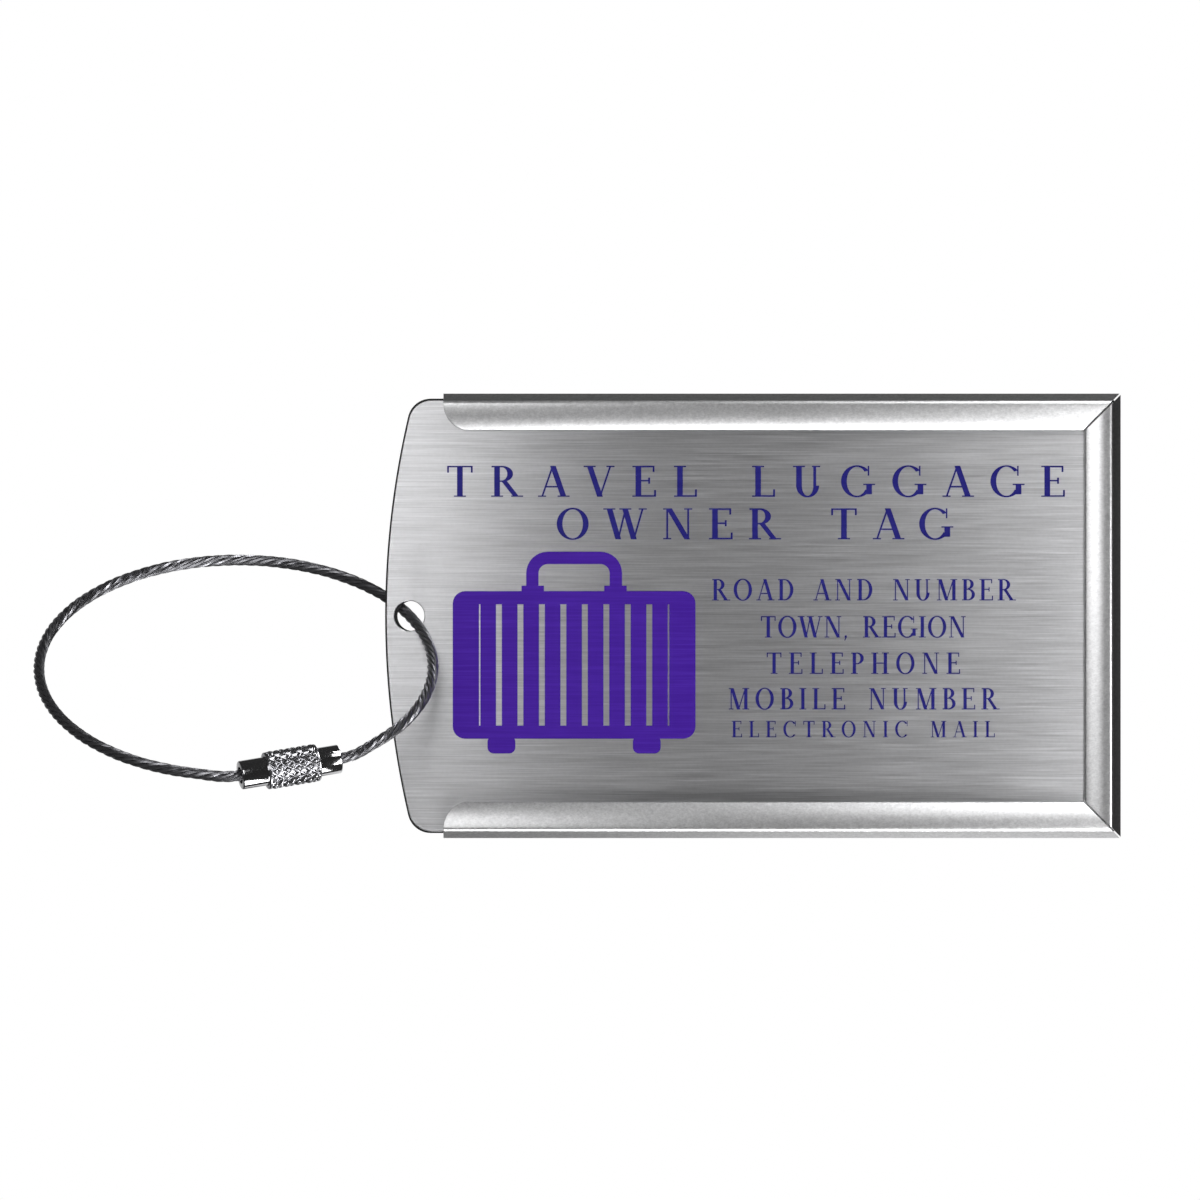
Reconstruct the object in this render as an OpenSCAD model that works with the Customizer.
// Steel luggage tag on a wire-rope loop.
//
// A brushed steel face plate and a black insert card lie back to back. A cable
// loop goes through a hole in both. A folded steel tray with rolled, mitred
// flanges slides over them from the far end. The loop closes with a knurled
// barrel that screws onto a threaded stud.
//
// The loop's centre is the origin and the tag hangs below it, along -Z.
// The tag's front faces -Y. Sizes are in millimetres.

/* [Cable loop] */
// Diameter of the circle that the cable's centreline follows
loop_d = 50.8; // [50:0.1:52]
// Diameter of the wire rope
cable_d = 1.5; // [1.4:0.05:1.6]
// Angle between the loop's plane and the tag's plane, in degrees
loop_tilt = 57; // [55:1:59]
// Place of the tag's hole on the loop, in degrees round from its lowest point
hole_angle = 28.5; // [27.5:0.5:29.5]
// Place of the connector's middle on the loop, in degrees
lock_angle = -73; // [-76:1:-70]

/* [Connector] */
// Diameter of both ferrules
ferrule_d = 3.7; // [3.6:0.05:3.7]
// Length of the stud ferrule's collar
collar_len = 2.9; // [2.6:0.1:3.2]
// Diameter over the barrel's knurl
barrel_d = 4.9; // [4.8:0.05:5.2]
// Length of the barrel
barrel_len = 6.9; // [6.9:0.1:7.4]
// Length of the swivel ferrule that shows behind the closed barrel
shank_len = 3.4; // [3.2:0.1:3.8]
// Outside diameter of the stud's thread
thread_d = 3.0; // [2.9:0.05:3.1]
// Pitch of the thread
thread_pitch = 0.5; // [0.5:0.1:0.5]
// Turns that free the barrel from the stud
thread_turns = 6; // [4:1:6]

/* [Face plate] */
// Width of the face plate
plate_w = 55.8; // [55:0.1:56]
// Thickness of the face plate
plate_t = 0.8; // [0.6:0.1:0.9]
// Radius of the plate's curved top edge
plate_edge_r = 113; // [100:1:130]
// Radius of the plate's top corners
plate_corner_r = 3; // [2:0.5:4]
// Distance from the hole's centre up to the plate's top edge
hole_to_edge = 3; // [2.8:0.1:3.4]
// Diameter of the hole in the plate and in the card
hole_d = 3.9; // [3.7:0.1:4.1]

/* [Insert card] */
// Width of the insert card
card_w = 56.2; // [56:0.1:56.3]
// Thickness of the insert card
card_t = 0.3; // [0.2:0.05:0.35]
// How far the card stands out past the plate's top edge
card_proud = 0.15; // [0.1:0.05:0.4]

/* [Tray] */
// Outside width of the tray
tray_w = 57.5; // [57.5:0.1:58]
// Distance from the hole's centre down to the tray's open end
hole_to_tray = 4.4; // [4:0.1:5]
// Distance from the hole's centre down to the tray's closed end
hole_to_end = 92; // [90:0.5:95]
// Thickness of the tray's sheet
sheet_t = 0.5; // [0.4:0.05:0.5]
// Width of the flanges, seen from the front
flange_w = 4.8; // [4.4:0.1:5.2]
// Width of the saw cut in each mitred corner
mitre_gap = 0.2; // [0.15:0.05:0.3]
// Radius of the flanges' rounded ends at the open side
flange_end_r = 3.6; // [3:0.1:3.8]

/* [Hidden] */
$fn = 72;
past = 1;                            // how far a cutter runs past what it cuts
lap = 0.1;                           // overlap of two shapes that join
deep = 5;                            // half depth of a cut through the whole tray

// ---- the loop ----
loop_r = loop_d / 2;
// Directions in the loop's plane: sideways, down, and out of the plane.
side = [cos(loop_tilt), sin(loop_tilt), 0];
down = [0, 0, -1];
out = [-sin(loop_tilt), cos(loop_tilt), 0];
function in_loop(p, w = 0) = side * p[0] + down * p[1] + out * w;
function on_circle(a, r = loop_r) = [r * sin(a), r * cos(a)];
function along_circle(a) = [cos(a), -sin(a)];

// ---- the connector, measured along its own axis from its middle ----
lock_len = shank_len + barrel_len + collar_len;
lock_back = -lock_len / 2;
lock_front = lock_len / 2;
barrel_back = lock_back + shank_len;
collar_back = lock_front - collar_len;
face_gap = 0.03;
barrel_front = collar_back - face_gap;
// The connector is a chord of the loop's circle.
lock_r = sqrt(loop_r * loop_r - lock_back * lock_back);
function on_lock(s) = on_circle(lock_angle, lock_r) + along_circle(lock_angle) * s;

run_gap = 0.03;                      // radial clearance of each turning fit
stud_len = thread_turns * thread_pitch;
pilot_d = 2.3;
pilot_len = 2.5;
thread_depth = 0.25;
thread_play = 0.1;
thread_zone = 2;                     // threaded length at the barrel's mouth
flange_front = collar_back - stud_len - pilot_len;
flange_len = 0.45;
flange_d = ferrule_d + 0.38;
chamber_d = flange_d + 2 * run_gap;
rear_bore_d = ferrule_d + 2 * run_gap + 0.02;
ring_id = ferrule_d + 2 * run_gap;
ring_od = ferrule_d + 0.6;
ring_len = 0.36;
ring_split = 0.6;
ring_front = flange_front - flange_len - 0.05;
groove_play = 0.02;
bead_r = 0.15;                       // rounding of the outer edges
crimp_depth = 2.5;                   // length of cable held in each ferrule
crimp_gap = 0.02;
mouth_d = 2.1;
mouth_len = 0.7;

// ---- the cable's route: a straight start, an easing, the circle, and back ----
ease_angle = 29;                     // the circle begins this far from the connector's middle
ease_reach = 3.2;                    // length of the easing curve's handles
straight_end = 0.6;                  // the cable bends from here, inside the ferrule's mouth
ease_steps = 4;
arc_step = 7.5;
function bezier(a, b, c, d, t) =
    a * pow(1 - t, 3) + b * 3 * t * pow(1 - t, 2) + c * 3 * t * t * (1 - t) + d * pow(t, 3);
leave = lock_front - straight_end;
enter = lock_back + straight_end;
arc_from = lock_angle + ease_angle;
arc_to = lock_angle + 360 - ease_angle;
arc_count = round((arc_to - arc_from) / arc_step);
axis_dir = along_circle(lock_angle);
start_ease = [for (i = [0 : ease_steps - 1])
    bezier(on_lock(leave), on_lock(leave) + axis_dir * ease_reach,
           on_circle(arc_from) - along_circle(arc_from) * ease_reach, on_circle(arc_from),
           i / ease_steps)];
arc = [for (i = [0 : arc_count]) on_circle(arc_from + (arc_to - arc_from) * i / arc_count)];
end_ease = [for (i = [1 : ease_steps])
    bezier(on_circle(arc_to), on_circle(arc_to) + along_circle(arc_to) * ease_reach,
           on_lock(enter) - axis_dir * ease_reach, on_lock(enter),
           i / ease_steps)];
route = concat([on_lock(lock_front - crimp_depth)], start_ease, arc, end_ease,
               [on_lock(lock_back + crimp_depth)]);
cable_sides = 8;

// ---- the tag's layers, measured from the hole's centre; the front is -Y ----
hole_at = in_loop(on_circle(hole_angle));
plate_front = -0.6;
plate_back = plate_front + plate_t;
card_back = plate_back + card_t;
slide_gap = 0.1;                     // between the card and the tray's back
tray_inner = card_back + slide_gap;
tray_outer = tray_inner + sheet_t;
plate_end_gap = 0.3;
card_end_gap = 0.2;
plate_end = hole_to_end - sheet_t - plate_end_gap;
card_end = hole_to_end - sheet_t - card_end_gap;
card_hole_drop = 0.4;                // the card's hole sits a little low

// ---- the tray's section: x runs out from the tag's middle line, y to the back ----
bottom_bend = 0.8;                   // outside radius of the fold at the back
rise_bend = 0.6;                     // outside radius where the wall starts to lean in
rise_y = -0.2;                       // height of that bend's centre
lean = 25;                           // lean of the wall's upper half, in degrees
lean_len = 1.8;                      // length of the leaning part
ridge_bend = 0.6;                    // outside radius of the fold at the front
roof_r = 8.5;                        // outside radius of the rolled flange
roof_from = -95;                     // where the fold turns into the roll, in degrees
strip_w = 2.8;                       // width of the back that each strip brings along
bend_steps = 5;
rise_steps = 2;
roof_steps = 8;

// Points of an arc from angle a to angle b.
function arc_points(c, r, a, b, n) =
    [for (i = [0 : n]) c + r * [cos(a + (b - a) * i / n), sin(a + (b - a) * i / n)]];

// Where the roll ends, so that the flange has its stated width.
function roof_to(reach, centre_x) = -acos((reach - centre_x) / roof_r);

// Section of one folded strip whose outer wall stands at x = reach.
function strip_section(reach) =
    let (low = [reach - bottom_bend, tray_outer - bottom_bend],
         rise = [reach - rise_bend, rise_y],
         ridge = rise + (rise_bend - ridge_bend) * [cos(lean), -sin(lean)]
                      - lean_len * [sin(lean), cos(lean)],
         roof = ridge - (roof_r - ridge_bend) * [cos(roof_from), sin(roof_from)],
         end = roof_to(reach - flange_w, roof[0]))
    concat([[reach - strip_w, tray_outer]],
           arc_points(low, bottom_bend, 90, 0, bend_steps),
           arc_points(rise, rise_bend, 0, -lean, rise_steps),
           arc_points(ridge, ridge_bend, -lean, roof_from, bend_steps),
           arc_points(roof, roof_r, roof_from, end, roof_steps),
           arc_points(roof, roof_r - sheet_t, end, roof_from, roof_steps),
           arc_points(ridge, ridge_bend - sheet_t, roof_from, -lean, bend_steps),
           arc_points(rise, rise_bend - sheet_t, -lean, 0, rise_steps),
           arc_points(low, bottom_bend - sheet_t, 0, 90, bend_steps),
           [[reach - strip_w, tray_inner]]);

// ---- placing ----
module at_lock() {
    translate(in_loop(on_circle(lock_angle, lock_r))) rotate([0, 90 - lock_angle, loop_tilt]) children();
}

module at_hole() {
    translate(hole_at) children();
}

// Turned bar from s = a to s = b.
module bar(d, a, b) {
    translate([0, 0, a]) cylinder(d = d, h = b - a);
}

// Turned bar with both outer edges broken.
module soft_bar(d, a, b) {
    r = d / 2;
    rotate_extrude()
        polygon([[0, a], [r - bead_r, a], [r, a + bead_r], [r, b - bead_r], [r - bead_r, b], [0, b]]);
}

// Sheet with an outline drawn in x and z, from depth y0 to y1.
module sheet(y0, y1) {
    translate([0, y1, 0]) rotate([90, 0, 0]) linear_extrude(height = y1 - y0) children();
}

// Outline of a plate with a curved top edge and rounded top corners; the hole is at the origin.
module tag_outline(w, top, bottom, corner_r, corner_bottom = 1) {
    centre = [0, top - plate_edge_r];
    reach = plate_edge_r - corner_r;
    corner_x = w / 2 - corner_r;
    corner = [corner_x, centre[1] + sqrt(reach * reach - corner_x * corner_x)];
    turn = atan2(corner[1] - centre[1], corner_x);
    big = arc_points(centre, plate_edge_r, 180 - turn, turn, 24);
    right = arc_points(corner, corner_r, turn, 0, 6);
    left = arc_points([-corner[0], corner[1]], corner_r, 180, 180 - turn, 6);
    low = [w / 2 - corner_bottom, -bottom + corner_bottom];
    low_right = arc_points(low, corner_bottom, 0, -90, 4);
    low_left = arc_points([-low[0], low[1]], corner_bottom, -90, -180, 4);
    polygon(concat(big, right, low_right, low_left, left));
}

// ---- the pieces ----
module cable() {
    n = len(route);
    function heading(i) = let (d = route[min(i + 1, n - 1)] - route[max(i - 1, 0)]) d / norm(d);
    points = [for (i = [0 : n - 1]) for (j = [0 : cable_sides - 1])
        let (h = heading(i), a = 360 * j / cable_sides)
        in_loop(route[i] + [h[1], -h[0]] * (cable_d / 2 * cos(a)), cable_d / 2 * sin(a))];
    walls = [for (i = [0 : n - 2]) for (j = [0 : cable_sides - 1])
        let (k = (j + 1) % cable_sides, a = i * cable_sides, b = a + cable_sides)
        for (f = [[a + j, a + k, b + k], [a + j, b + k, b + j]]) f];
    start_cap = [for (j = [cable_sides - 1 : -1 : 0]) j];
    end_cap = [for (j = [0 : cable_sides - 1]) (n - 1) * cable_sides + j];
    color("dimgray") polyhedron(points, concat([start_cap], walls, [end_cap]));
}

module stud_ferrule() {
    stud_back = collar_back - stud_len;
    color("silver") at_lock() difference() {
        union() {
            soft_bar(ferrule_d, collar_back, lock_front);
            bar(thread_d - 2 * thread_depth, stud_back, collar_back + bead_r);
            for (i = [0 : thread_turns - 1])
                translate([0, 0, stud_back + i * thread_pitch]) rotate_extrude()
                    polygon([[0, 0], [thread_d / 2 - thread_depth, 0], [thread_d / 2, thread_pitch * 0.4],
                             [thread_d / 2, thread_pitch * 0.6], [thread_d / 2 - thread_depth, thread_pitch],
                             [0, thread_pitch]]);
            bar(pilot_d, flange_front, stud_back + lap);
        }
        bar(cable_d + 2 * crimp_gap, lock_front - crimp_depth, lock_front + past);
        bar(mouth_d, lock_front - mouth_len, lock_front + past);
    }
}

module swivel_ferrule() {
    color("silver") at_lock() difference() {
        union() {
            soft_bar(ferrule_d, lock_back, flange_front);
            bar(flange_d, flange_front - flange_len, flange_front);
        }
        bar(cable_d + 2 * crimp_gap, lock_back - past, lock_back + crimp_depth);
        bar(mouth_d, lock_back - past, lock_back + mouth_len);
    }
}

module retaining_ring() {
    color("gainsboro") at_lock() difference() {
        bar(ring_od, ring_front - ring_len, ring_front);
        bar(ring_id, ring_front - ring_len - past, ring_front + past);
        translate([0, -ring_split / 2, ring_front - ring_len - past])
            cube([ring_od, ring_split, ring_len + 2 * past]);
    }
}

module lock_barrel() {
    groove_back = ring_front - ring_len - groove_play;
    groove_front = ring_front + groove_play;
    color("lightgray") at_lock() difference() {
        soft_bar(barrel_d, barrel_back, barrel_front);
        bar(rear_bore_d, barrel_back - past, groove_back + lap);
        bar(ring_od + 2 * run_gap, groove_back, groove_front);
        bar(chamber_d, groove_front - lap, barrel_front - thread_zone);
        bar(thread_d + thread_play, barrel_front - thread_zone - lap, barrel_front + past);
    }
}

module face_plate() {
    color("silver") at_hole() difference() {
        sheet(plate_front, plate_back) tag_outline(plate_w, hole_to_edge, plate_end, plate_corner_r);
        translate([0, plate_front - past, 0]) rotate([-90, 0, 0]) cylinder(d = hole_d, h = plate_t + 2 * past);
    }
}

module insert_card() {
    color("black") at_hole() difference() {
        sheet(plate_back, card_back)
            tag_outline(card_w, hole_to_edge + card_proud, card_end, plate_corner_r);
        translate([0, plate_back - past, -card_hole_drop])
            rotate([-90, 0, 0]) cylinder(d = hole_d, h = card_t + 2 * past);
    }
}

// Folded strip along one long side, with its far end cut to the mitre.
module side_strip() {
    half = tray_w / 2;
    length = hole_to_end - hole_to_tray;
    far = half + past;
    cut = mitre_gap / sqrt(2);
    difference() {
        intersection() {
            translate([0, 0, -hole_to_end]) linear_extrude(height = length) polygon(strip_section(half));
            sheet(-deep, deep) polygon([[half + cut - far, -hole_to_end + far], [half + cut, -hole_to_end],
                                  [far + past, -hole_to_end], [far + past, 0], [half + cut - far, 0]]);
        }
        flange_corner(half);
    }
}

// What is cut off a flange to round its free corner at the open end.
module flange_corner(half) {
    lip = half - flange_w;
    sheet(-deep, plate_front) difference() {
        translate([lip - past, -hole_to_tray - flange_end_r]) square(flange_end_r + past);
        translate([lip + flange_end_r, -hole_to_tray - flange_end_r]) circle(r = flange_end_r);
    }
}

// Folded strip across the closed end, mitred at both ends.
module end_strip() {
    half = tray_w / 2;
    cut = mitre_gap / sqrt(2);
    intersection() {
        translate([-half, 0, 0]) rotate([0, 90, 0]) linear_extrude(height = tray_w)
            polygon(strip_section(hole_to_end));
        sheet(-deep, deep) polygon([[-half + cut, -hole_to_end], [half - cut, -hole_to_end],
                              [0, -hole_to_end + half - cut]]);
    }
}

module frame_tray() {
    back_w = tray_w - 2 * bottom_bend;
    color("silver") at_hole() union() {
        sheet(tray_inner, tray_outer)
            translate([-back_w / 2, -hole_to_end + bottom_bend])
                square([back_w, hole_to_end - bottom_bend - hole_to_tray]);
        side_strip();
        mirror([1, 0, 0]) side_strip();
        end_strip();
    }
}

cable();
stud_ferrule();
swivel_ferrule();
retaining_ring();
lock_barrel();
face_plate();
insert_card();
frame_tray();
